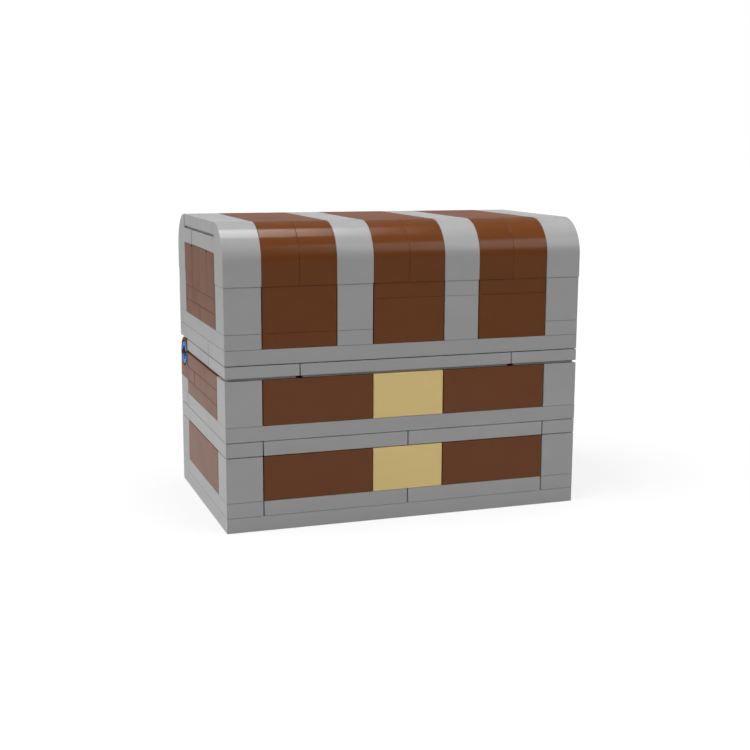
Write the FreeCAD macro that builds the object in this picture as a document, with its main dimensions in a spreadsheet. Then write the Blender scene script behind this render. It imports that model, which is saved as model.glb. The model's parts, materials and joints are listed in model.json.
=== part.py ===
"""Toy treasure chest of interlocking plastic blocks, its lid on two ring-and-pin hinges.

Everything stands on one grid. A column is one stud wide (X), a row is one stud deep (Y, front to
back) and a level is one plate high (Z). Columns run from 0 at the left to 10, rows from 0 at the
front to 6, and levels from 0 on the table to 20. The origin is the middle of the footprint, on the
table, and each block stops a little inside its own grid cells.
"""
import FreeCAD, Part
import math
import os
import Sketcher

# ---------------------------------------------------------------- driving dimensions, millimetres
SIZES = [
    ("pitch", 8.0, "distance from stud to stud"),
    ("plate", 3.2, "height of a plate, a third of a brick"),
    ("columns", 10, "width of the chest in studs"),
    ("rows", 6, "depth of the chest in studs"),
    ("play", 0.1, "from a block's side to its grid line"),
    ("curve_play", 0.02, "the same on a curved brick, which stands a little proud of the wall"),
    ("wall", 1.45, "side wall of a hollow block"),
    ("roof", 1.0, "top wall of a hollow block"),
    ("stud_radius", 2.4, "stud on top of a plate"),
    ("stud_rise", 1.7, "height of a stud"),
    ("groove_rise", 0.55, "height of the groove round a tile's foot"),
    ("groove_depth", 0.6, "depth of that groove"),
    ("seat_gap", 0.1, "from the rim tiles up to the closed lid"),
    ("ring_radius", 3.7, "outside of a hinge ring"),
    ("bore_radius", 2.45, "hole through a hinge ring"),
    ("mouth_radius", 3.1, "wider mouth at each end of that hole"),
    ("mouth_depth", 0.9, "depth of that mouth"),
    ("axis_over_foot", 5.8, "hinge axis above the foot of the base's ring plates"),
    ("pin_radius", 2.38, "shank of a hinge pin"),
    ("pin_bore", 1.6, "hole along a hinge pin"),
    ("lip_radius", 2.6, "snap lip at each end of a pin"),
    ("lip_width", 0.6, "length of that lip"),
    ("collar_radius", 2.95, "collar between the base's ring and the lid's"),
    ("collar_half", 0.8, "half the length of that collar"),
    ("slit_gap", 1.2, "width of the slit across each end of a pin"),
    ("slit_length", 5.2, "length of that slit"),
]

# levels at which the layers of the chest start
BOTTOM_LEVEL = 0
LOW_BAND_LEVEL = 1
LOW_PANEL_LEVEL = 2
HIGH_BAND_LEVEL = 5
DECK_LEVEL = 6
WALL_LEVEL = 7
RIM_LEVEL = 10
LID_FLOOR_LEVEL = 11
LID_BAND_LEVEL = 12
LID_CORNER_LEVEL = 13
LID_SIDE_LEVEL = 15
CURVE_LEVEL = 16
RIDGE_LEVEL = 18
TOP_LEVEL = 19

BRICK = 3            # levels in a brick
FRONT_ROW = 0
BACK_ROW = 5
LEFT_COLUMN = 0
RIGHT_COLUMN = 9
HINGE_ROW = 4        # a ring plate covers this row and the next, and its ring is on the next
PIN_STUDS = 3        # length of a hinge pin

doc = FreeCAD.newDocument("chest")
sizes = doc.addObject("Spreadsheet::Sheet", "sizes")
for number, (alias, value, meaning) in enumerate(SIZES, start=1):
    sizes.set(f"A{number}", meaning)
    sizes.set(f"B{number}", str(value))
    sizes.setAlias(f"B{number}", alias)
doc.recompute()

sub_parts = []


def x_of(column):
    """The X of a grid line, as an expression."""
    return f"({column} - sizes.columns / 2) * sizes.pitch"


def y_of(row):
    """The Y of a grid line, as an expression."""
    return f"({row} - sizes.rows / 2) * sizes.pitch"


def z_of(level):
    """The Z of a grid level, as an expression."""
    return f"{level} * sizes.plate"


def place(item, x, y, z):
    """Tie an object's position to the sheet."""
    item.setExpression(".Placement.Base.x", x)
    item.setExpression(".Placement.Base.y", y)
    item.setExpression(".Placement.Base.z", z)


def sub_part(item, label):
    """Keep an object as one sub-part of the chest, under its own label."""
    item.Label = label
    sub_parts.append(item)
    return item


def group(label, pieces):
    """Alike pieces that share one sub-part and stay separate solids."""
    item = doc.addObject("Part::Compound", "Group")
    item.Links = pieces
    return sub_part(item, label)


# ---------------------------------------------------------------- plates, bricks and tiles
def cell_box(cells, level, inset, height, lift="0"):
    """A cuboid over a rectangle of grid cells, drawn in by inset on its four sides."""
    column, row, across, deep = cells
    item = doc.addObject("Part::Box", "Box")
    item.setExpression("Length", f"{across} * sizes.pitch - 2 * ({inset})")
    item.setExpression("Width", f"{deep} * sizes.pitch - 2 * ({inset})")
    item.setExpression("Height", height)
    place(item, f"{x_of(column)} + {inset}", f"{y_of(row)} + {inset}", f"{z_of(level)} + {lift}")
    return item


def cut(base, tool):
    """One solid less another."""
    item = doc.addObject("Part::Cut", "Cut")
    item.Base = base
    item.Tool = tool
    return item


def block(column, row, level, across, deep, height=1):
    """A plate or brick: a thin-walled box, open below to take the studs under it."""
    cells = (column, row, across, deep)
    outside = cell_box(cells, level, "sizes.play", f"{height} * sizes.plate")
    hollow_height = f"{height} * sizes.plate - sizes.roof"
    hollow = cell_box(cells, level, "sizes.play + sizes.wall", hollow_height)
    return cut(outside, hollow)


def tile(level, *footprint, drop="0"):
    """A smooth plate over one or more rectangles of cells, with a groove round its foot."""
    cap_height = f"sizes.plate - sizes.groove_rise - {drop}"
    slabs = []
    for cells in footprint:
        slabs.append(cell_box(cells, level, "sizes.play", cap_height, "sizes.groove_rise"))
        foot_inset = "sizes.play + sizes.groove_depth"
        slabs.append(cell_box(cells, level, foot_inset, "sizes.groove_rise"))
    solid = doc.addObject("Part::MultiFuse", "Fuse")
    solid.Shapes = slabs
    solid.Refine = True
    for cells in footprint:
        hollow = cell_box(cells, level, "sizes.play + sizes.wall", "sizes.plate - sizes.roof")
        solid = cut(solid, hollow)
    return solid


# ---------------------------------------------------------------- sketches
def number_of(item, expression):
    """The present value of an expression."""
    return float(item.evalExpression(expression))


def point_of(sketch, across, up):
    return FreeCAD.Vector(number_of(sketch, across), number_of(sketch, up), 0)


def tie(sketch, kind, geometry, point, name, expression):
    """A named distance from the sketch's origin to a point, bound to the sheet."""
    start = number_of(sketch, expression)
    index = sketch.addConstraint(Sketcher.Constraint(kind, -1, 1, geometry, point, start))
    sketch.renameConstraint(index, name)
    sketch.setExpression(f"Constraints.{name}", expression)


def tie_point(sketch, geometry, point, name, across, up):
    tie(sketch, "DistanceX", geometry, point, f"{name}_x", across)
    tie(sketch, "DistanceY", geometry, point, f"{name}_y", up)


def join(sketch, first, first_end, second, second_end):
    sketch.addConstraint(Sketcher.Constraint("Coincident", first, first_end, second, second_end))


def draw_chain(sketch, corners, name="corner"):
    """Straight sides through corners given as expressions, left open at the end."""
    sides = []
    for start, end in zip(corners[:-1], corners[1:]):
        side = Part.LineSegment(point_of(sketch, *start), point_of(sketch, *end))
        sides.append(sketch.addGeometry(side, False))
    for side, following in zip(sides[:-1], sides[1:]):
        join(sketch, side, 2, following, 1)
    for number, (side, corner) in enumerate(zip(sides, corners)):
        tie_point(sketch, side, 1, f"{name}_{number}", *corner)
    tie_point(sketch, sides[-1], 2, f"{name}_end", *corners[-1])
    return sides


def draw_outline(sketch, corners, name="corner"):
    """A closed outline of straight sides."""
    sides = draw_chain(sketch, corners, name)
    last = Part.LineSegment(point_of(sketch, *corners[-1]), point_of(sketch, *corners[0]))
    closing = sketch.addGeometry(last, False)
    join(sketch, sides[-1], 2, closing, 1)
    join(sketch, closing, 2, sides[0], 1)


def close_with_arc(sketch, sides, centre, radius, start_degrees, end_degrees):
    """An arc, drawn anticlockwise, from the first free end of a chain of sides to its last."""
    circle = Part.Circle(point_of(sketch, *centre), FreeCAD.Vector(0, 0, 1), number_of(sketch, radius))
    start = math.radians(start_degrees)
    end = math.radians(end_degrees)
    arc = sketch.addGeometry(Part.ArcOfCircle(circle, start, end), False)
    join(sketch, arc, 1, sides[0], 1)
    join(sketch, arc, 2, sides[-1], 2)
    tie(sketch, "DistanceY", arc, 3, "arc_centre_y", centre[1])


def draw_circle(sketch, across, up, radius):
    """A circle whose centre and radius are expressions."""
    start_radius = number_of(sketch, radius)
    circle = Part.Circle(point_of(sketch, across, up), FreeCAD.Vector(0, 0, 1), start_radius)
    index = sketch.addGeometry(circle, False)
    tie_point(sketch, index, 3, "centre", across, up)
    size = sketch.addConstraint(Sketcher.Constraint("Radius", index, start_radius))
    sketch.renameConstraint(size, "radius")
    sketch.setExpression("Constraints.radius", radius)


def rectangle(left, low, right, high):
    """The corners of a rectangle."""
    return [(left, low), (right, low), (right, high), (left, high)]


def origin_feature(body, role):
    """One of a body's own origin planes or axes."""
    for feature in body.Origin.OriginFeatures:
        if feature.Role == role:
            return feature
    raise ValueError(role)


def new_sketch(body, role, offset=("0", "0", "0")):
    """A sketch on one of a body's origin planes, moved by offset in the sketch's own frame."""
    sketch = body.newObject("Sketcher::SketchObject", "Sketch")
    sketch.AttachmentSupport = (origin_feature(body, role), [""])
    sketch.MapMode = "FlatFace"
    for letter, expression in zip("xyz", offset):
        sketch.setExpression(f".AttachmentOffset.Base.{letter}", expression)
    return sketch


def pad(body, sketch, length):
    """Raise a sketch off its plane."""
    feature = body.newObject("PartDesign::Pad", "Pad")
    feature.Profile = sketch
    feature.setExpression("Length", length)
    doc.recompute()
    return feature


def hollow_below(body, corners):
    """Cut the space for studs into the underside of a plate."""
    sketch = new_sketch(body, "XY_Plane")
    draw_outline(sketch, corners)
    feature = body.newObject("PartDesign::Pocket", "Hollow")
    feature.Profile = sketch
    feature.Reversed = True
    feature.setExpression("Length", "sizes.plate - sizes.roof")
    doc.recompute()


def stud_on(body, across, deep):
    """One stud on top of a plate."""
    sketch = new_sketch(body, "XY_Plane", ("0", "0", "sizes.plate"))
    draw_circle(sketch, across, deep, "sizes.stud_radius")
    return pad(body, sketch, "sizes.stud_rise")


# ---------------------------------------------------------------- tray deck
def tray_deck():
    """The wide plate that is the floor of the tray, with studs wherever nothing lies on it."""
    open_columns = 8
    open_rows = 3
    body = doc.addObject("PartDesign::Body", "Deck")
    plan = new_sketch(body, "XY_Plane")
    right = "sizes.columns * sizes.pitch - sizes.play"
    back = "(sizes.rows - 1) * sizes.pitch - sizes.play"
    draw_outline(plan, rectangle("sizes.play", "sizes.play", right, back))
    pad(body, plan, "sizes.plate")
    edge = "sizes.play + sizes.wall"
    hollow_below(body, rectangle(edge, edge, f"{right} - sizes.wall", f"{back} - sizes.wall"))
    first_stud = stud_on(body, "1.5 * sizes.pitch", "1.5 * sizes.pitch")
    studs = body.newObject("PartDesign::LinearPattern", "Studs")
    studs.Originals = [first_stud]
    studs.Direction = (origin_feature(body, "X_Axis"), [""])
    studs.setExpression("Length", f"{open_columns - 1} * sizes.pitch")
    studs.Occurrences = open_columns
    studs.Direction2 = (origin_feature(body, "Y_Axis"), [""])
    studs.setExpression("Length2", f"{open_rows - 1} * sizes.pitch")
    studs.Occurrences2 = open_rows
    body.Tip = studs
    place(body, x_of(LEFT_COLUMN), y_of(FRONT_ROW), z_of(DECK_LEVEL))
    sub_part(body, "tray_deck")


# ---------------------------------------------------------------- curved bricks
CURVE_RADIUS = "(sizes.pitch - sizes.curve_play - sizes.play)"


def curved_profile():
    """Side view of a front curved brick: a leg, a rounded top edge and a thin tail behind."""
    sketch = doc.addObject("Sketcher::SketchObject", "CurvedProfile")
    sketch.Placement.Rotation = FreeCAD.Rotation(FreeCAD.Vector(1, 1, 1), 120)
    outer = f"{y_of(FRONT_ROW)} + sizes.curve_play"
    knee = f"{y_of(FRONT_ROW + 1)} - sizes.play"
    tail = f"{y_of(FRONT_ROW + 2)} - sizes.play"
    foot = z_of(CURVE_LEVEL)
    under_tail = z_of(RIDGE_LEVEL)
    over_tail = z_of(TOP_LEVEL)
    crown = z_of(TOP_LEVEL + 1)
    arc_centre_up = f"{crown} - {CURVE_RADIUS}"
    sides = draw_chain(sketch, [
        (knee, crown),
        (knee, over_tail),
        (tail, over_tail),
        (tail, under_tail),
        (knee, under_tail),
        (knee, foot),
        (outer, foot),
        (outer, arc_centre_up),
    ])
    close_with_arc(sketch, sides, (knee, arc_centre_up), CURVE_RADIUS, 90, 180)
    return sketch


def curved_brick(profile, column):
    """A front curved brick, one stud wide and two deep, with the hollow in its leg."""
    solid = doc.addObject("Part::Extrusion", "Curved")
    solid.Base = profile
    solid.DirMode = "Normal"
    solid.Solid = True
    solid.setExpression("LengthFwd", "sizes.pitch - 2 * sizes.curve_play")
    solid.setExpression(".Placement.Base.x", f"{x_of(column)} + sizes.curve_play")
    leg = (column, FRONT_ROW, 1, 1)
    leg_height = RIDGE_LEVEL - CURVE_LEVEL
    hollow = cell_box(leg, CURVE_LEVEL, "sizes.play + sizes.wall", f"{leg_height} * sizes.plate")
    return cut(solid, hollow)


def facing_back(front_piece):
    """The same piece at the back of the chest, turned to face backwards."""
    item = doc.addObject("Part::Mirroring", "FacingBack")
    item.Source = front_piece
    item.Normal = (0, 1, 0)
    return item


# ---------------------------------------------------------------- hinges
def bore_section(left_mouth, right_mouth):
    """Half section of the hole through a ring, wider at an end that takes a pin's lip or collar."""
    mouth_end = "sizes.play + sizes.mouth_depth"
    far_mouth = "sizes.pitch - sizes.play - sizes.mouth_depth"
    corners = [("0", "0"), ("sizes.pitch", "0")]
    if right_mouth:
        corners.append(("sizes.pitch", "sizes.mouth_radius"))
        corners.append((far_mouth, "sizes.mouth_radius"))
        corners.append((far_mouth, "sizes.bore_radius"))
    else:
        corners.append(("sizes.pitch", "sizes.bore_radius"))
    if left_mouth:
        corners.append((mouth_end, "sizes.bore_radius"))
        corners.append((mouth_end, "sizes.mouth_radius"))
        corners.append(("0", "sizes.mouth_radius"))
    else:
        corners.append(("0", "sizes.bore_radius"))
    return corners


def ring_plate(column, level, axis_height, on_top, mouths):
    """A plate two studs deep whose rear half carries a hinge ring, above it or below it.

    The body's origin is the plate's front left foot, and axis_height is measured from there. The
    studs go up into the blocks above, where nothing shows, and are left out as on other blocks.
    """
    ring_middle = "1.5 * sizes.pitch"
    far_side = "sizes.pitch - sizes.play"
    back = "2 * sizes.pitch - sizes.play"
    edge = "sizes.play + sizes.wall"
    body = doc.addObject("PartDesign::Body", "RingPlate")
    plan = new_sketch(body, "XY_Plane")
    draw_outline(plan, rectangle("sizes.play", "sizes.play", far_side, back))
    pad(body, plan, "sizes.plate")

    ring = new_sketch(body, "YZ_Plane", ("0", "0", "sizes.play"))
    front_side = (f"{ring_middle} - sizes.ring_radius", axis_height)
    rear_side = (f"{ring_middle} + sizes.ring_radius", axis_height)
    front_root = (front_side[0], "0.5 * sizes.plate")
    rear_root = (rear_side[0], "0.5 * sizes.plate")
    if on_top:
        sides = draw_chain(ring, [rear_side, rear_root, front_root, front_side])
        arc_span = (0, 180)
    else:
        sides = draw_chain(ring, [front_side, front_root, rear_root, rear_side])
        arc_span = (180, 360)
    close_with_arc(ring, sides, (ring_middle, axis_height), "sizes.ring_radius", *arc_span)
    pad(body, ring, "sizes.pitch - 2 * sizes.play")

    bore = new_sketch(body, "XZ_Plane", ("0", axis_height, f"-{ring_middle}"))
    draw_outline(bore, bore_section(*mouths))
    groove = body.newObject("PartDesign::Groove", "Bore")
    groove.Profile = bore
    groove.ReferenceAxis = (bore, ["H_Axis"])
    doc.recompute()

    hollow_back = f"{back} - sizes.wall" if on_top else far_side
    hollow_below(body, rectangle(edge, edge, f"{far_side} - sizes.wall", hollow_back))
    place(body, x_of(column), y_of(HINGE_ROW), z_of(level))
    return body


def hinge_pin(column, turned):
    """A hollow pin three studs long, slit at both ends, with a collar one stud from its outer end."""
    body = doc.addObject("PartDesign::Body", "Pin")
    profile = new_sketch(body, "XY_Plane")
    near_end = "sizes.play"
    far_end = f"{PIN_STUDS} * sizes.pitch - sizes.play"
    collar_start = "sizes.pitch - sizes.collar_half"
    collar_end = "sizes.pitch + sizes.collar_half"
    draw_outline(profile, [
        (near_end, "sizes.pin_bore"),
        (far_end, "sizes.pin_bore"),
        (far_end, "sizes.lip_radius"),
        (f"{far_end} - sizes.lip_width", "sizes.lip_radius"),
        (f"{far_end} - sizes.lip_width", "sizes.pin_radius"),
        (collar_end, "sizes.pin_radius"),
        (collar_end, "sizes.collar_radius"),
        (collar_start, "sizes.collar_radius"),
        (collar_start, "sizes.pin_radius"),
        (f"{near_end} + sizes.lip_width", "sizes.pin_radius"),
        (f"{near_end} + sizes.lip_width", "sizes.lip_radius"),
        (near_end, "sizes.lip_radius"),
    ])
    turning = body.newObject("PartDesign::Revolution", "Turning")
    turning.Profile = profile
    turning.ReferenceAxis = (profile, ["H_Axis"])
    doc.recompute()
    half_gap = "0.5 * sizes.slit_gap"
    slits = new_sketch(body, "XZ_Plane")
    near_bottom = f"{near_end} + sizes.slit_length"
    far_bottom = f"{far_end} - sizes.slit_length"
    draw_outline(slits, rectangle("0", f"-{half_gap}", near_bottom, half_gap), "near")
    draw_outline(slits, rectangle(far_bottom, f"-{half_gap}", f"{far_end} + sizes.play", half_gap), "far")
    pocket = body.newObject("PartDesign::Pocket", "Slits")
    pocket.Profile = slits
    pocket.Midplane = True
    pocket.setExpression("Length", "4 * sizes.lip_radius")
    if turned:
        body.Placement.Rotation = FreeCAD.Rotation(FreeCAD.Vector(0, 0, 1), 180)
    axis_height = f"({z_of(WALL_LEVEL + 1)} + sizes.axis_over_foot)"
    place(body, x_of(column), f"{y_of(BACK_ROW)} + 0.5 * sizes.pitch", axis_height)
    return body


# ---------------------------------------------------------------- the base
def side_pair(row, level, deep, height=1):
    """The same block in the left and the right wall."""
    return [block(column, row, level, 1, deep, height) for column in (LEFT_COLUMN, RIGHT_COLUMN)]


def panel_row(place_name, row, level):
    """Brown, tan and brown bricks between the corner bricks of a front or back wall."""
    browns = [block(column, row, level, 3, 1, BRICK) for column in (1, 6)]
    group(f"{place_name}_brown_bricks", browns)
    sub_part(block(4, row, level, 2, 1, BRICK), f"{place_name}_tan_brick")


def base_bands():
    """Bottom plate, and the two grey bands with the lower panels between them."""
    sub_part(block(LEFT_COLUMN, FRONT_ROW, BOTTOM_LEVEL, 10, 6), "bottom_plate")
    for band, level in (("lower", LOW_BAND_LEVEL), ("upper", HIGH_BAND_LEVEL)):
        group(f"{band}_side_plates", side_pair(FRONT_ROW, level, 6))
        for side, row in (("front", FRONT_ROW), ("back", BACK_ROW)):
            group(f"{band}_{side}_plates", [block(column, row, level, 4, 1) for column in (1, 5)])
    corners = [block(column, row, LOW_PANEL_LEVEL, 1, 1, BRICK)
               for row in (FRONT_ROW, BACK_ROW) for column in (LEFT_COLUMN, RIGHT_COLUMN)]
    group("lower_corner_bricks", corners)
    panel_row("lower_front", FRONT_ROW, LOW_PANEL_LEVEL)
    panel_row("lower_back", BACK_ROW, LOW_PANEL_LEVEL)
    group("lower_side_brown_bricks", side_pair(1, LOW_PANEL_LEVEL, 4, BRICK))


def base_tray():
    """Deck, upper walls and smooth rim round the tray."""
    tray_deck()
    sub_part(block(LEFT_COLUMN, BACK_ROW, DECK_LEVEL, 10, 1), "back_deck_plate")
    group("upper_front_corner_bricks", side_pair(FRONT_ROW, WALL_LEVEL, 1, BRICK))
    panel_row("upper_front", FRONT_ROW, WALL_LEVEL)
    group("side_strips_low", side_pair(1, WALL_LEVEL, 4))
    group("side_strips_middle", side_pair(1, WALL_LEVEL + 1, 3))
    group("side_strips_high", side_pair(1, WALL_LEVEL + 2, 4))
    group("back_corner_plates", side_pair(BACK_ROW, WALL_LEVEL, 1))
    group("back_rim_tiles", [tile(WALL_LEVEL, (1, row, 8, 1)) for row in (HINGE_ROW, BACK_ROW)])
    left_corner = tile(RIM_LEVEL, (0, 0, 2, 1), (0, 0, 1, 2), drop="sizes.seat_gap")
    right_corner = tile(RIM_LEVEL, (8, 0, 2, 1), (9, 0, 1, 2), drop="sizes.seat_gap")
    group("rim_corner_tiles", [left_corner, right_corner])
    sub_part(tile(RIM_LEVEL, (2, FRONT_ROW, 6, 1), drop="sizes.seat_gap"), "front_rim_tile")
    side_tiles = [tile(RIM_LEVEL, (column, 2, 1, 3), drop="sizes.seat_gap")
                  for column in (LEFT_COLUMN, RIGHT_COLUMN)]
    group("side_rim_tiles", side_tiles)


def base_hinges():
    """Ring plates that stand in the base's back corners."""
    plates = [ring_plate(column, WALL_LEVEL + 1, "sizes.axis_over_foot", True, (True, True))
              for column in (LEFT_COLUMN, RIGHT_COLUMN)]
    group("base_ring_plates", plates)


# ---------------------------------------------------------------- the lid
def lid_long_wall(side, row):
    """Front or back wall of the lid: bands of brown and grey, each a brick and a plate.

    The two left bands have their plate below the brick, the others have it on top.
    """
    plate_below = (LID_BAND_LEVEL, LID_BAND_LEVEL + 1)
    plate_above = (LID_BAND_LEVEL + BRICK, LID_BAND_LEVEL)
    bands = {
        "brown": (2, [(1, plate_below), (4, plate_above), (7, plate_above)]),
        "grey": (1, [(3, plate_below), (6, plate_above)]),
    }
    for colour, (across, spots) in bands.items():
        plates = [block(column, row, levels[0], across, 1) for column, levels in spots]
        bricks = [block(column, row, levels[1], across, 1, BRICK) for column, levels in spots]
        group(f"lid_{side}_{colour}_plates", plates)
        group(f"lid_{side}_{colour}_bricks", bricks)


def lid_walls():
    """Floor, side bands, corners and walls of the lid."""
    sub_part(block(LEFT_COLUMN, FRONT_ROW, LID_FLOOR_LEVEL, 10, 2), "lid_floor_front")
    sub_part(block(LEFT_COLUMN, 2, LID_FLOOR_LEVEL, 10, 4), "lid_floor_back")
    group("lid_side_plates", side_pair(FRONT_ROW, LID_BAND_LEVEL, 6))
    corners = [block(column, row, LID_CORNER_LEVEL, 1, 1, BRICK)
               for row in (FRONT_ROW, BACK_ROW) for column in (LEFT_COLUMN, RIGHT_COLUMN)]
    group("lid_corner_bricks", corners)
    lid_long_wall("front", FRONT_ROW)
    lid_long_wall("back", BACK_ROW)
    short_plates = side_pair(1, LID_CORNER_LEVEL, 2) + side_pair(3, LID_CORNER_LEVEL, 2)
    group("lid_side_short_plates", short_plates)
    group("lid_side_long_plates", side_pair(1, LID_CORNER_LEVEL + 1, 4))
    side_bricks = []
    for row in range(1, 5):
        side_bricks += side_pair(row, LID_SIDE_LEVEL, 1, BRICK)
    group("lid_side_bricks", side_bricks)


def lid_top():
    """Rounded edges, ridge plate and the smooth tiles on top."""
    profile = curved_profile()
    columns = {"grey": (0, 3, 6, 9), "brown": (1, 2, 4, 5, 7, 8)}
    for colour, spots in columns.items():
        group(f"front_curved_{colour}_bricks", [curved_brick(profile, column) for column in spots])
        backs = [facing_back(curved_brick(profile, column)) for column in spots]
        group(f"back_curved_{colour}_bricks", backs)
    sub_part(block(LEFT_COLUMN, 2, RIDGE_LEVEL, 10, 2), "ridge_plate")
    group("grey_top_tiles", [tile(TOP_LEVEL, (column, 1, 1, 4)) for column in (0, 3, 6, 9)])
    group("brown_top_tiles", [tile(TOP_LEVEL, (column, 1, 2, 4)) for column in (1, 4, 7)])


def lid_hinges():
    """Ring plates under the lid, the filler between them and the pins.

    The rings stand in pairs. Where the two of a pair meet, their holes have no mouths.
    """
    axis_height = f"({z_of(WALL_LEVEL + 1)} + sizes.axis_over_foot - {z_of(RIM_LEVEL)})"
    plates = []
    for column in (1, 7):
        plates.append(ring_plate(column, RIM_LEVEL, axis_height, False, (True, False)))
        plates.append(ring_plate(column + 1, RIM_LEVEL, axis_height, False, (False, True)))
    group("lid_ring_plates", plates)
    fillers = [block(3, BACK_ROW, level, 4, 1) for level in (RIM_LEVEL - 1, RIM_LEVEL)]
    group("lid_back_filler_plates", fillers)
    group("hinge_pins", [hinge_pin(LEFT_COLUMN, False), hinge_pin(RIGHT_COLUMN + 1, True)])


def check_document():
    """Stop if any object failed, and if any pocket or groove took nothing away."""
    for item in doc.Objects:
        if "Invalid" in item.State or "Error" in item.State:
            raise RuntimeError(f"{item.Name} ({item.Label}): {item.State}")
        if item.TypeId in ("PartDesign::Pocket", "PartDesign::Groove"):
            if item.Shape.Volume > item.BaseFeature.Shape.Volume - 0.1:
                raise RuntimeError(f"{item.Name} cuts nothing")
    for item in sub_parts:
        if item.Shape.isNull() or not item.Shape.isValid():
            raise RuntimeError(f"{item.Label} has no valid shape")


base_bands()
base_tray()
base_hinges()
lid_walls()
lid_top()
lid_hinges()
doc.recompute()
check_document()
os.makedirs("parts", exist_ok=True)
for item in sub_parts:
    item.Shape.exportStep(f"parts/{item.Label}.step")
print(len(sub_parts), "sub-parts,", sum(len(item.Shape.Solids) for item in sub_parts), "solids")
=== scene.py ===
"""Toy treasure chest of interlocking plastic blocks: finishes, edges, tubes, light and camera."""
import json
import math

import bmesh
import bpy
from mathutils import Matrix


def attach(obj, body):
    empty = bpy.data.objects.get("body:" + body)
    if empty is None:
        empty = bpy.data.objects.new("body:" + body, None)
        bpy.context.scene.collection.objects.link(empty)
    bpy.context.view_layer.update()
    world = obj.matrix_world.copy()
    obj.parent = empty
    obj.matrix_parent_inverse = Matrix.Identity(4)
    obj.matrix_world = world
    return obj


MM = 0.001
PITCH = 8.0 * MM             # stud to stud
OUTER_WALL_X = 39.5 * MM     # beyond these lie the outer faces of the chest
OUTER_WALL_Y = 23.5 * MM
BAND_HEIGHT = 17.6 * MM      # middle of the plates between the two rows of panels
RIM_FOOT = 32.0 * MM         # where the rim tiles stand, which have a groove of their own
LID_SEAM = 35.2 * MM         # where the lid leaves the base
CURVE_FOOT = 51.2 * MM       # where the curved bricks of the lid begin


# Shader sums ---------------------------------------------------------------------------------

class Wire:
    """A value that runs between nodes. Sums written with it add Math nodes."""

    def __init__(self, bench, socket):
        self.bench = bench
        self.socket = socket

    def __add__(self, other):
        return self.bench.math("ADD", self, other)

    def __sub__(self, other):
        return self.bench.math("SUBTRACT", self, other)

    def __mul__(self, other):
        return self.bench.math("MULTIPLY", self, other)

    def __truediv__(self, other):
        return self.bench.math("DIVIDE", self, other)

    def __rsub__(self, other):
        return self.bench.math("SUBTRACT", other, self)

    def __rtruediv__(self, other):
        return self.bench.math("DIVIDE", other, self)

    def __gt__(self, other):
        return self.bench.math("GREATER_THAN", self, other)

    def __lt__(self, other):
        return self.bench.math("LESS_THAN", self, other)

    def __abs__(self):
        return self.bench.math("ABSOLUTE", self)

    __radd__ = __add__
    __rmul__ = __mul__


class Bench:
    """An empty node tree in which a finish, the surroundings or a mesh step is put together."""

    def __init__(self, tree):
        self.tree = tree
        self.tree.nodes.clear()

    def node(self, kind, settings=None, sockets=None, output=0):
        """Adds a node, sets it, feeds its sockets by name or place, and returns one output."""
        made = self.tree.nodes.new(kind)
        for name, value in (settings or {}).items():
            setattr(made, name, value)
        for key, value in (sockets or {}).items():
            if isinstance(value, Wire):
                self.tree.links.new(value.socket, made.inputs[key])
            else:
                made.inputs[key].default_value = value
        return Wire(self, made.outputs[output]) if made.outputs else None

    def parts(self, vector):
        """The X, Y and Z of a vector."""
        split = self.node("ShaderNodeSeparateXYZ", {}, {"Vector": vector}).socket.node
        return [Wire(self, part) for part in split.outputs]

    def rays(self, *kinds):
        """1 for light rays of any of these kinds, 0 for all others."""
        path = self.node("ShaderNodeLightPath").socket.node
        found, *others = (Wire(self, path.outputs[kind]) for kind in kinds)
        for other in others:
            found = self.math("MAXIMUM", found, other)
        return found

    def math(self, operation, *values):
        return self.node("ShaderNodeMath", {"operation": operation}, dict(enumerate(values)))

    def vector(self, operation, *values, output="Vector"):
        """A sum on vectors, by the name of its operation, as math is for numbers."""
        return self.node("ShaderNodeVectorMath", {"operation": operation}, dict(enumerate(values)),
                         output=output)

    def ramp(self, value, low, high, to_low=0.0, to_high=1.0):
        """to_low below low, to_high above high, and an S-shaped change between them."""
        return self.node("ShaderNodeMapRange", {"interpolation_type": "SMOOTHSTEP"}, {
            "Value": value, "From Min": low, "From Max": high, "To Min": to_low, "To Max": to_high})

    def near(self, value, centre, reach):
        """1 at centre, falling to 0 at reach from it."""
        return self.ramp(abs(value - centre), 0.4 * reach, reach, 1.0, 0.0)

    def mix(self, share, first, second):
        """A colour between two others, by a share from 0 to 1."""
        return self.node("ShaderNodeMix", {"data_type": "RGBA"},
                         {"Factor": share, 6: first, 7: second}, output=2)

    def grain(self, place, size, depth=2.0, finer=(1.0, 1.0, 1.0), slant=(0.0, 0.0, 0.0)):
        """Noise, mostly from 0.3 to 0.7, in patches about size long. finer is how many times shorter
        they are along each axis, and slant turns them."""
        stretched = self.node("ShaderNodeMapping", {}, {
            "Vector": place, "Rotation": slant, "Scale": tuple(times / size for times in finer)})
        return self.node("ShaderNodeTexNoise", {}, {
            "Vector": stretched, "Scale": 1.0, "Detail": depth, "Roughness": 0.55})


def rgb(red, green, blue):
    return (red, green, blue, 1.0)


def scaled(colour, by):
    return rgb(*(min(part * by, 1.0) for part in colour[:3]))


# Finishes ------------------------------------------------------------------------------------

POLISH = 0.13                # roughness of a clean face seen straight on
PINHOLE_Y = 8.1 * MM         # at the inner ends of the curved bricks
PINHOLE_Z = 57.4 * MM        # under the corners of the ridge plate
# painted shade: the colour of the dark points that stand in for the shade inside pinholes between blocks
PINHOLE_SHADE_COLOUR = rgb(0.002, 0.001, 0.001)


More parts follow.
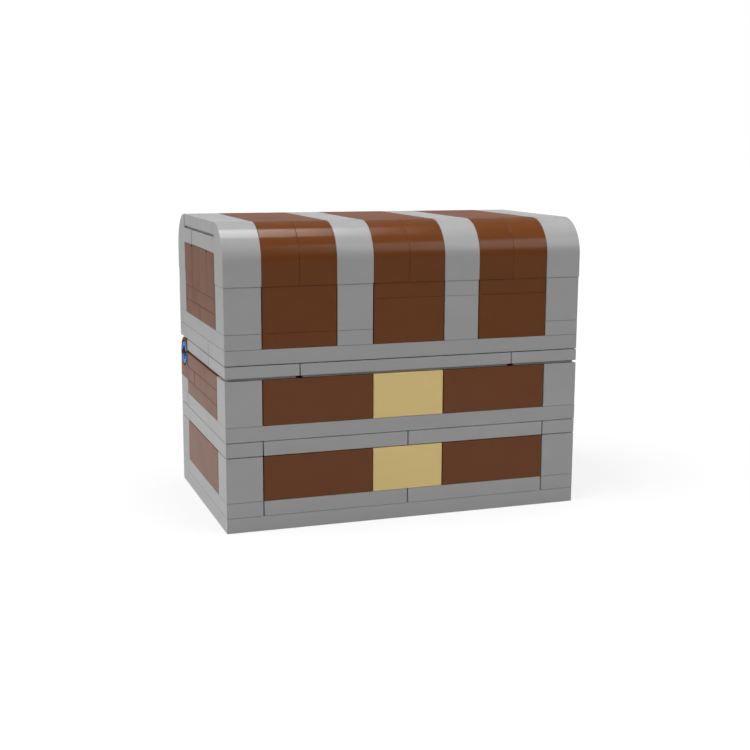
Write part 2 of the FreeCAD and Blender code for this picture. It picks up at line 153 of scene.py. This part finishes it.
def moulded_plastic(name, colour):
    """Glossy moulded plastic: faint pigment swirls, a tone for each block, handling marks on the
    faces, and rounded edges in the seams painted a little darker, in patches, as shade between
    blocks, and duller there. Seen at a slant it is duller too. Two dark points on each side of the
    lid are painted shade standing in for pinholes between blocks."""
    material = bpy.data.materials.new(name)
    material.use_nodes = True
    bench = Bench(material.node_tree)
    place = bench.node("ShaderNodeTexCoord", output="Object")
    x, y, z = bench.parts(place)
    block = bench.node("ShaderNodeNewGeometry", output="Random Per Island")
    edge = bench.node("ShaderNodeAttribute", {"attribute_name": "edge"}, output="Fac")
    facing = bench.node("ShaderNodeLayerWeight", output="Facing")

    swirls = bench.grain(place, 9 * MM, depth=3.0, finer=(1.0, 1.0, 2.2))
    specks = bench.grain(place, 0.35 * MM)
    smudges = bench.ramp(bench.grain(place, 13 * MM, depth=4.0), 0.48, 0.66)
    scuffs_along = bench.grain(place, 5 * MM, finer=(1.0, 40.0, 40.0), slant=(0.3, 0.2, 0.15))
    scuffs_down = bench.grain(place, 6 * MM, finer=(36.0, 36.0, 1.0), slant=(0.2, -0.3, 0.1))
    scuffs = bench.ramp(scuffs_along, 0.66, 0.74) + bench.ramp(scuffs_down, 0.67, 0.75)
    # painted shade: the rounded edges in the seams are darkened in patches, where shade falls between
    # blocks
    seam_shade = edge * bench.ramp(bench.grain(place, 1.6 * MM, depth=3.0), 0.30, 0.60, 0.4, 1.0)
    # painted shade: two dark points on each side of the lid, where pinholes between blocks would lie in
    # shade
    pinhole_shade = (bench.near(abs(y), PINHOLE_Y, 0.7 * MM) * bench.near(z, PINHOLE_Z, 0.3 * MM)
               * (abs(x) > OUTER_WALL_X))

    tone = 0.5 + (swirls - 0.5) * 1.1 + (block - 0.5) * 0.45 + (specks - 0.5) * 0.3
    body = bench.mix(tone, scaled(colour, 0.955), scaled(colour, 1.045))
    # painted shade: the body colour is darkened on those seam edges
    seam_shaded = bench.mix(seam_shade * 0.2, body, scaled(colour, 0.5))
    marks = smudges * 0.05 + scuffs * 0.05 + seam_shade * 0.02 + (specks - 0.5) * 0.03
    dulled = bench.ramp(facing, 0.5, 0.8) * 0.26 + bench.ramp(facing, 0.86, 0.93) * 0.15

    bench.node("ShaderNodeOutputMaterial", {}, {"Surface": bench.node("ShaderNodeBsdfPrincipled", {}, {
        "Base Color": bench.mix(pinhole_shade, seam_shaded, PINHOLE_SHADE_COLOUR),
        "Roughness": POLISH + marks + dulled + pinhole_shade * 0.8,
        "IOR": 1.45,
        "Specular IOR Level": 0.22,
        "Normal": bench.node("ShaderNodeBump", {}, {
            "Strength": 0.25,
            "Distance": 0.02 * MM,
            "Height": swirls * 2.0 + specks * 0.25 - scuffs * 0.25}),
    })})
    return material


def dress(piece, finish):
    """Puts one finish on every slot of a piece."""
    if not piece.material_slots:
        piece.data.materials.append(finish)
    for slot in piece.material_slots:
        slot.material = finish


# Edges ---------------------------------------------------------------------------------------

EDGE_RADIUS = 0.10 * MM      # of a moulded edge
AT_SEAM = 0.5 * MM           # faces this near to the height of a seam belong to it
AT_BAND = 2.0 * MM           # the same for the seams on both sides of the upper band
LEAST_SLANT = 0.4            # so that a corner moves at most 2.5 times as far as its faces


def mesh_step(name):
    """An empty mesh step that takes a piece in and gives it out, and the bench for its nodes."""
    group = bpy.data.node_groups.new(name, "GeometryNodeTree")
    for way in ("INPUT", "OUTPUT"):
        group.interface.new_socket("Mesh", in_out=way, socket_type="NodeSocketGeometry")
    return group, Bench(group)


def draw_in(name, across=0.0, along=0.0, above=0.0, deep=0.0):
    """A mesh step that moves the faces of a piece inwards, so that a fine dark line shows between
    blocks: by across, along and above for those that look along X, Y and Z, by deep more at the
    plates of the upper band, and by a part of that between base and lid. The outer walls and
    the foot of the rim tiles stay."""
    group, bench = mesh_step(name)
    outward = bench.node("GeometryNodeInputNormal")
    of_faces = bench.node("GeometryNodeFieldOnDomain", {"domain": "FACE", "data_type": "FLOAT_VECTOR"}, {
        "Value": outward})
    slant = bench.vector("DOT_PRODUCT", outward, of_faces, output="Value")
    reach = -1.0 / bench.math("MAXIMUM", slant, LEAST_SLANT)
    inward = bench.node("ShaderNodeVectorMath", {"operation": "SCALE"}, {0: outward, "Scale": reach})

    x, y, z = bench.parts(bench.node("GeometryNodeInputPosition"))
    at_band = abs(z - BAND_HEIGHT) < AT_BAND
    at_lid = abs(z - LID_SEAM) < AT_SEAM
    gaps = bench.node("ShaderNodeCombineXYZ", {}, {
        "X": (OUTER_WALL_X > abs(x)) * across,
        "Y": (OUTER_WALL_Y > abs(y)) * along,
        "Z": (abs(z - RIM_FOOT) > AT_SEAM) * (above + at_band * deep + at_lid * (0.4 * deep))})
    moved = bench.node("GeometryNodeSetPosition", {}, {
        "Geometry": bench.node("NodeGroupInput"), "Offset": bench.vector("MULTIPLY", inward, gaps)})
    bench.node("NodeGroupOutput", {}, {0: moved})
    return group


def edge_marker():
    """A mesh step that shades a piece smooth and notes which faces are rounded edges. Those carry
    material number 1 until then. The outer corners of the chest are left out, so that only the
    edges in the seams between blocks get the painted shade."""
    group, bench = mesh_step("mark_edges")
    smooth = bench.node("GeometryNodeSetShadeSmooth", {}, {"Geometry": bench.node("NodeGroupInput")})
    number = bench.node("GeometryNodeInputMaterialIndex")
    x, y, z = bench.parts(bench.node("GeometryNodeInputPosition"))
    upward = bench.parts(bench.node("GeometryNodeInputNormal"))[2]
    on_curve = (upward > 0.12) * (z > CURVE_FOOT)
    corner = (abs(x) > OUTER_WALL_X) * bench.math("MAXIMUM", abs(y) > OUTER_WALL_Y, on_curve)
    # painted shade: the marked edges are darkened by the finish, the outer corners are not
    marked = bench.node("GeometryNodeStoreNamedAttribute", {"data_type": "FLOAT", "domain": "FACE"}, {
        "Geometry": smooth, "Name": "edge", "Value": number * (1 - corner)})
    plain = bench.node("GeometryNodeSetMaterialIndex", {}, {"Geometry": marked, "Material Index": 0})
    bench.node("NodeGroupOutput", {}, {0: plain})
    return group


def round_edges(piece, finish, seams, marker):
    """Opens the seams of a piece, rounds its sharp edges as its mould does, and marks them for
    the finish."""
    piece.data.materials.append(finish)
    steps = [
        ("WELD", {"merge_threshold": 0.001 * MM}),
        ("DECIMATE", {"decimate_type": "DISSOLVE", "angle_limit": math.radians(1.0)}),
        ("NODES", {"node_group": seams}),
        ("BEVEL", {"width": EDGE_RADIUS, "segments": 2, "limit_method": "ANGLE",
                   "angle_limit": math.radians(35.0), "use_clamp_overlap": True, "material": 1}),
        ("NODES", {"node_group": marker}),
        ("WEIGHTED_NORMAL", {"mode": "FACE_AREA", "keep_sharp": False}),
    ]
    for kind, settings in steps:
        step = piece.modifiers.new(kind.lower(), kind)
        for name, value in settings.items():
            setattr(step, name, value)


# Tubes under the plates ----------------------------------------------------------------------

TUBE_OUTSIDE = 3.255 * MM
TUBE_BORE = 2.4 * MM
TUBE_LIP = 0.12 * MM
TUBE_SIDES = 40
TUBE_RISE = 0.05 * MM        # the mouths lie this far above the foot of their plate
PLATE_CEILING = 2.2 * MM     # and the hollow under the plate ends this far above it


def tube_bank(name, columns, rows, foot, body):
    """The tubes on the underside of a plate, which grip the studs of the blocks below."""
    mouth = foot + TUBE_RISE
    ceiling = foot + PLATE_CEILING
    outline = (
        (TUBE_OUTSIDE, ceiling),
        (TUBE_OUTSIDE, mouth + TUBE_LIP),
        (TUBE_OUTSIDE - 0.3 * TUBE_LIP, mouth + 0.3 * TUBE_LIP),
        (TUBE_OUTSIDE - TUBE_LIP, mouth),
        (TUBE_BORE + TUBE_LIP, mouth),
        (TUBE_BORE + 0.3 * TUBE_LIP, mouth + 0.3 * TUBE_LIP),
        (TUBE_BORE, mouth + TUBE_LIP),
        (TUBE_BORE, ceiling),
    )
    mesh = bmesh.new()
    turns = [math.tau * side / TUBE_SIDES for side in range(TUBE_SIDES)]
    for column in columns:
        for row in rows:
            rings = [
                [mesh.verts.new((column + radius * math.cos(turn), row + radius * math.sin(turn), height))
                 for turn in turns]
                for radius, height in outline
            ]
            for upper, lower in zip(rings, rings[1:]):
                for side in range(TUBE_SIDES):
                    after = (side + 1) % TUBE_SIDES
                    face = mesh.faces.new((upper[side], lower[side], lower[after], upper[after]))
                    face.smooth = True
    data = bpy.data.meshes.new(name)
    mesh.to_mesh(data)
    mesh.free()
    piece = bpy.data.objects.new(name, data)
    bpy.context.collection.objects.link(piece)
    piece.modifiers.new("weighted_normal", "WEIGHTED_NORMAL")
    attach(piece, body)
    return piece


# Studio --------------------------------------------------------------------------------------

# How bright each light is
ROOM_BEHIND = 0.24
ROOM_IN_FRONT = 0.207
FAR_WALL = 1.8
CEILING = 0.12
RIGHT_BOX = 10.2
LEFT_BOX = 8.8
FRONT_PANELS = 2.95
SIDE_PANEL = 1.7

FLOOR_RADIUS = 6.0           # in metres, as the next two
FLOOR_NEAR = 0.14            # from here to FLOOR_FAR the floor dims in reflections
FLOOR_FAR = 0.32
FLOOR_GLOW = 1.54

LENS = 59.747                # in millimetres, as the sensor's width
SENSOR = 36.0
CAMERA_PLACE = (-0.092958, -0.267906, 0.079178)
CAMERA_TURN = -19.2756       # in degrees, to the right
CAMERA_DIP = 10.385          # below the horizon
CAMERA_ROLL = 0.278


def light_studio():
    """A dim room, seen as plain white, with two soft boxes overhead, tall soft panels at the front
    right, the front left and the left, and a far wall that is bright near the horizon."""
    world = bpy.data.worlds.new("studio")
    world.use_nodes = True
    bpy.context.scene.world = world
    bench = Bench(world.node_tree)
    # Which way a ray goes, each part from -1 to 1
    right, back, up = bench.parts(bench.node("ShaderNodeTexCoord", output="Generated"))
    front = 0.0 - back
    left = 0.0 - right

    room = bench.ramp(front, -0.3, 0.4, ROOM_BEHIND, ROOM_IN_FRONT)
    far_wall = (bench.ramp(back, 0.3, 0.8) * bench.ramp(right, -0.25, 0.15)
                * bench.ramp(up, 0.08, 0.26, FAR_WALL, 0.0))
    ceiling = bench.ramp(front, 0.0, 0.3) * bench.ramp(up, 0.6, 0.75, 0.0, CEILING)

    overhead = (1 - bench.ramp(abs(back / up), 0.27, 0.31)) * (up > 0.0)
    lean = right / up
    right_box = overhead * bench.ramp(lean, -0.02, 0.08) * (1 - bench.ramp(lean, 0.20, 0.40))
    left_box = overhead * bench.ramp(lean, -1.1, -0.95) * (1 - bench.ramp(lean, -0.35, -0.25))

    right_panel = (bench.ramp(right / front, 0.25, 0.50) * (front > 0.1)
                   * bench.ramp(up, 0.22, 0.40) * (1 - bench.ramp(up, 0.64, 0.73)))
    tall = bench.ramp(up, 0.15, 0.35) * (1 - bench.ramp(up, 0.6, 0.8))
    left_panel = tall * bench.ramp(left, 0.3, 0.5) * bench.ramp(front, 0.2, 0.4)
    side_panel = tall * bench.ramp(left, 0.55, 0.8)

    light = (room + far_wall + ceiling + right_box * RIGHT_BOX + left_box * LEFT_BOX
             + right_panel * FRONT_PANELS + left_panel * FRONT_PANELS + side_panel * SIDE_PANEL)
    seen = bench.rays("Is Camera Ray", "Is Transmission Ray")
    bench.node("ShaderNodeOutputWorld", {}, {"Surface": bench.node("ShaderNodeBackground", {}, {
        "Color": rgb(1.0, 1.0, 1.0), "Strength": seen + (1 - seen) * light})})


def lay_floor():
    """A pale floor. Eyes and reflections see it white with the chest's shadow on it, by half glow
    and half paint. In reflections the glow dims towards the far walls."""
    data = bpy.data.meshes.new("floor")
    mesh = bmesh.new()
    bmesh.ops.create_circle(mesh, cap_ends=True, segments=96, radius=FLOOR_RADIUS)
    mesh.to_mesh(data)
    mesh.free()
    floor = bpy.data.objects.new("floor", data)
    bpy.context.collection.objects.link(floor)

    material = bpy.data.materials.new("floor_paint")
    material.use_nodes = True
    bench = Bench(material.node_tree)
    place = bench.node("ShaderNodeTexCoord", output="Object")
    grey = bench.mix(bench.grain(place, 40 * MM), rgb(0.29, 0.29, 0.29), rgb(0.31, 0.31, 0.31))
    paint = bench.node("ShaderNodeBsdfPrincipled", {}, {
        "Base Color": grey, "Roughness": 0.9, "Specular IOR Level": 0.0})
    distance = bench.vector("LENGTH", place, output="Value")
    far = bench.ramp(distance, FLOOR_NEAR, FLOOR_FAR) * bench.rays("Is Glossy Ray")
    glow = bench.node("ShaderNodeEmission", {}, {
        "Color": bench.mix(far, rgb(1.0, 1.0, 1.0), rgb(0.42, 0.42, 0.42)), "Strength": FLOOR_GLOW})
    eye = bench.rays("Is Camera Ray", "Is Glossy Ray", "Is Transmission Ray")
    surface = bench.node("ShaderNodeMixShader", {}, {0: eye * 0.5, 1: paint, 2: glow})
    bench.node("ShaderNodeOutputMaterial", {}, {"Surface": surface})
    dress(floor, material)


def set_camera():
    """Low and a little to the chest's left, turned towards it."""
    data = bpy.data.cameras.new("camera")
    data.sensor_width = SENSOR
    data.lens = LENS
    data.clip_start = 0.01
    camera = bpy.data.objects.new("camera", data)
    bpy.context.collection.objects.link(camera)
    turn = Matrix.Rotation(math.radians(CAMERA_TURN), 4, "Z")
    tilt = Matrix.Rotation(math.radians(90.0 - CAMERA_DIP), 4, "X")
    roll = Matrix.Rotation(math.radians(CAMERA_ROLL), 4, "Z")
    camera.matrix_world = Matrix.Translation(CAMERA_PLACE) @ turn @ tilt @ roll
    bpy.context.scene.camera = camera


# Assembly ------------------------------------------------------------------------------------

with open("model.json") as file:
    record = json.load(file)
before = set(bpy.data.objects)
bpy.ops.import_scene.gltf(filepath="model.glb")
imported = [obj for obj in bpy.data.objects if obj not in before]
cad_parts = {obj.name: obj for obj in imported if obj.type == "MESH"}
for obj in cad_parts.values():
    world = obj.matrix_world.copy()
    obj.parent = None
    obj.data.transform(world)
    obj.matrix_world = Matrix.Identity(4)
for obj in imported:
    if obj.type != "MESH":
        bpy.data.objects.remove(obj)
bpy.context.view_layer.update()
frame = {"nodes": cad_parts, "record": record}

set_camera()
light_studio()
lay_floor()
bpy.context.scene.view_settings.view_transform = "Standard"

finishes = {
    "light_grey": moulded_plastic("light_grey_plastic", rgb(0.275, 0.275, 0.275)),
    "reddish_brown": moulded_plastic("reddish_brown_plastic", rgb(0.112, 0.0335, 0.008)),
    "tan": moulded_plastic("tan_plastic", rgb(0.58, 0.435, 0.182)),
    "blue": moulded_plastic("blue_plastic", rgb(0.008, 0.12, 0.44)),
}

marker = edge_marker()
fine_seams = draw_in("draw_in", along=0.02 * MM, above=0.01 * MM, deep=0.06 * MM)
# The curved bricks and the side bricks move out towards each other instead, so that no light
# shines between them.
close_across = draw_in("close_across", across=-0.0199 * MM)
close_along = draw_in("close_along", along=-0.0995 * MM, above=0.01 * MM)
for part in frame["record"]["subparts"]:
    piece = frame["nodes"][part["node"]]
    finish = finishes[part["material_slot"]]
    dress(piece, finish)
    if "curved" in part["node"]:
        seams = close_across
    elif part["node"] == "lid_side_bricks":
        seams = close_along
    else:
        seams = fine_seams
    round_edges(piece, finish, seams, marker)

columns = [PITCH * i for i in range(-4, 5)]    # between the studs, as the rows are
tubes = [
    tube_bank("bottom_tubes", columns, [PITCH * i for i in range(-2, 3)], 0.0, "base"),
    tube_bank("lid_front_tubes", columns, [-2 * PITCH], LID_SEAM, "lid"),
    tube_bank("lid_back_tubes", columns, [0.0, PITCH, 2 * PITCH], LID_SEAM, "lid"),
]
for piece in tubes:
    dress(piece, finishes["light_grey"])
